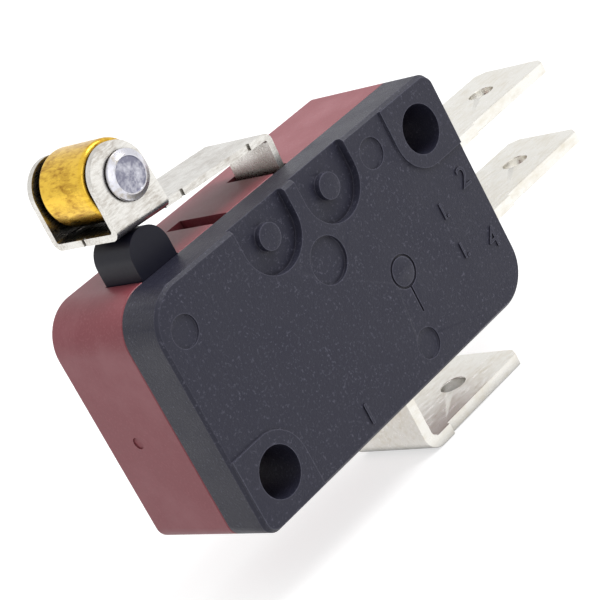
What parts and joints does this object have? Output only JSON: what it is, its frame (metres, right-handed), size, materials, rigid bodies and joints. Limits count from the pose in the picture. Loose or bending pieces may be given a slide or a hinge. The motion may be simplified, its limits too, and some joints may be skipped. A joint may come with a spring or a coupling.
{
  "type": "lever micro switch",
  "caption": "Snap-action micro switch with a maroon and black housing, a short hinged lever with a brass roller, and three flat tab terminals.",
  "frame": {"origin": "on the axis of the lower mounting hole (plunger end), midway between the cover's face and the back, 5.15 mm from each", "axes": "+X along the body towards the straight terminals; +Y towards the maroon back, along the mounting holes; +Z towards the lever and roller"},
  "size_m": [0.0407, 0.0105, 0.0286],
  "materials": {
    "maroon_plastic": "satin",
    "black_plastic": "satin",
    "nickel_steel": "polished",
    "brass": "satin",
    "tinned_brass": "satin",
    "silver": "satin",
    "copper_alloy": "satin",
    "spring_steel": "satin"
  },
  "bodies": {
    "housing": {"case": "maroon_plastic", "cover": "black_plastic", "com_terminal": "tinned_brass", "nc_terminal": "tinned_brass", "no_terminal": "tinned_brass", "nc_contact": "silver", "no_contact": "silver", "actuator_pin": "spring_steel", "fulcrum_bracket": "brass", "bracket_rivet": "spring_steel"},
    "lever_arm": {"lever": "nickel_steel", "roller_rivet": "nickel_steel"},
    "roller_wheel": {"roller": "brass"},
    "push_button": {"plunger": "black_plastic"},
    "inner_lever": {"actuator": "brass"},
    "contact_arm": {"moving_blade": "copper_alloy", "moving_contact": "silver"},
    "coil": {"tension_spring": "spring_steel"}
  },
  "joints": [
    {"name": "lever_pivot", "type": "hinge", "parent": "housing", "child": "lever_arm", "pos_m": [0.0135, 0, 0.01125], "axis": [0, -1, 0], "range_deg": [0, 10], "stiffness_Nm_per_rad": 0.004, "springref_deg": -17.19},
    {"name": "roller_spin", "type": "hinge", "parent": "lever_arm", "child": "roller_wheel", "pos_m": [0.0029, 0.00088, 0.01876], "axis": [0, 1, 0], "continuous": true},
    {"name": "plunger_press", "type": "slide", "parent": "housing", "child": "push_button", "axis": [0, 0, -1], "range_m": [0, 0.0021]},
    {"name": "inner_lever_swing", "type": "hinge", "parent": "housing", "child": "inner_lever", "pos_m": [0.0112, 0, 0.0081], "axis": [0, -1, 0], "range_deg": [0, 13]},
    {"name": "contact_swing", "type": "hinge", "parent": "housing", "child": "contact_arm", "pos_m": [0.0056, 0, 0.00495], "axis": [0, 1, 0], "range_deg": [0, 5]},
    {"name": "spring_swing", "type": "hinge", "parent": "contact_arm", "child": "coil", "pos_m": [0.0136, 0, 0.00495], "axis": [0, -1, 0], "range_deg": [0, 10]}
  ],
  "couplings": [
    {"joint": "plunger_press", "follows": "lever_pivot", "m_per_rad": 0.011444},
    {"joint": "inner_lever_swing", "follows": "lever_pivot", "ratio": 1.255},
    {"joint": "contact_swing", "follows": "lever_pivot", "ratio": 0.46},
    {"joint": "spring_swing", "follows": "lever_pivot", "ratio": 0.96}
  ]
}
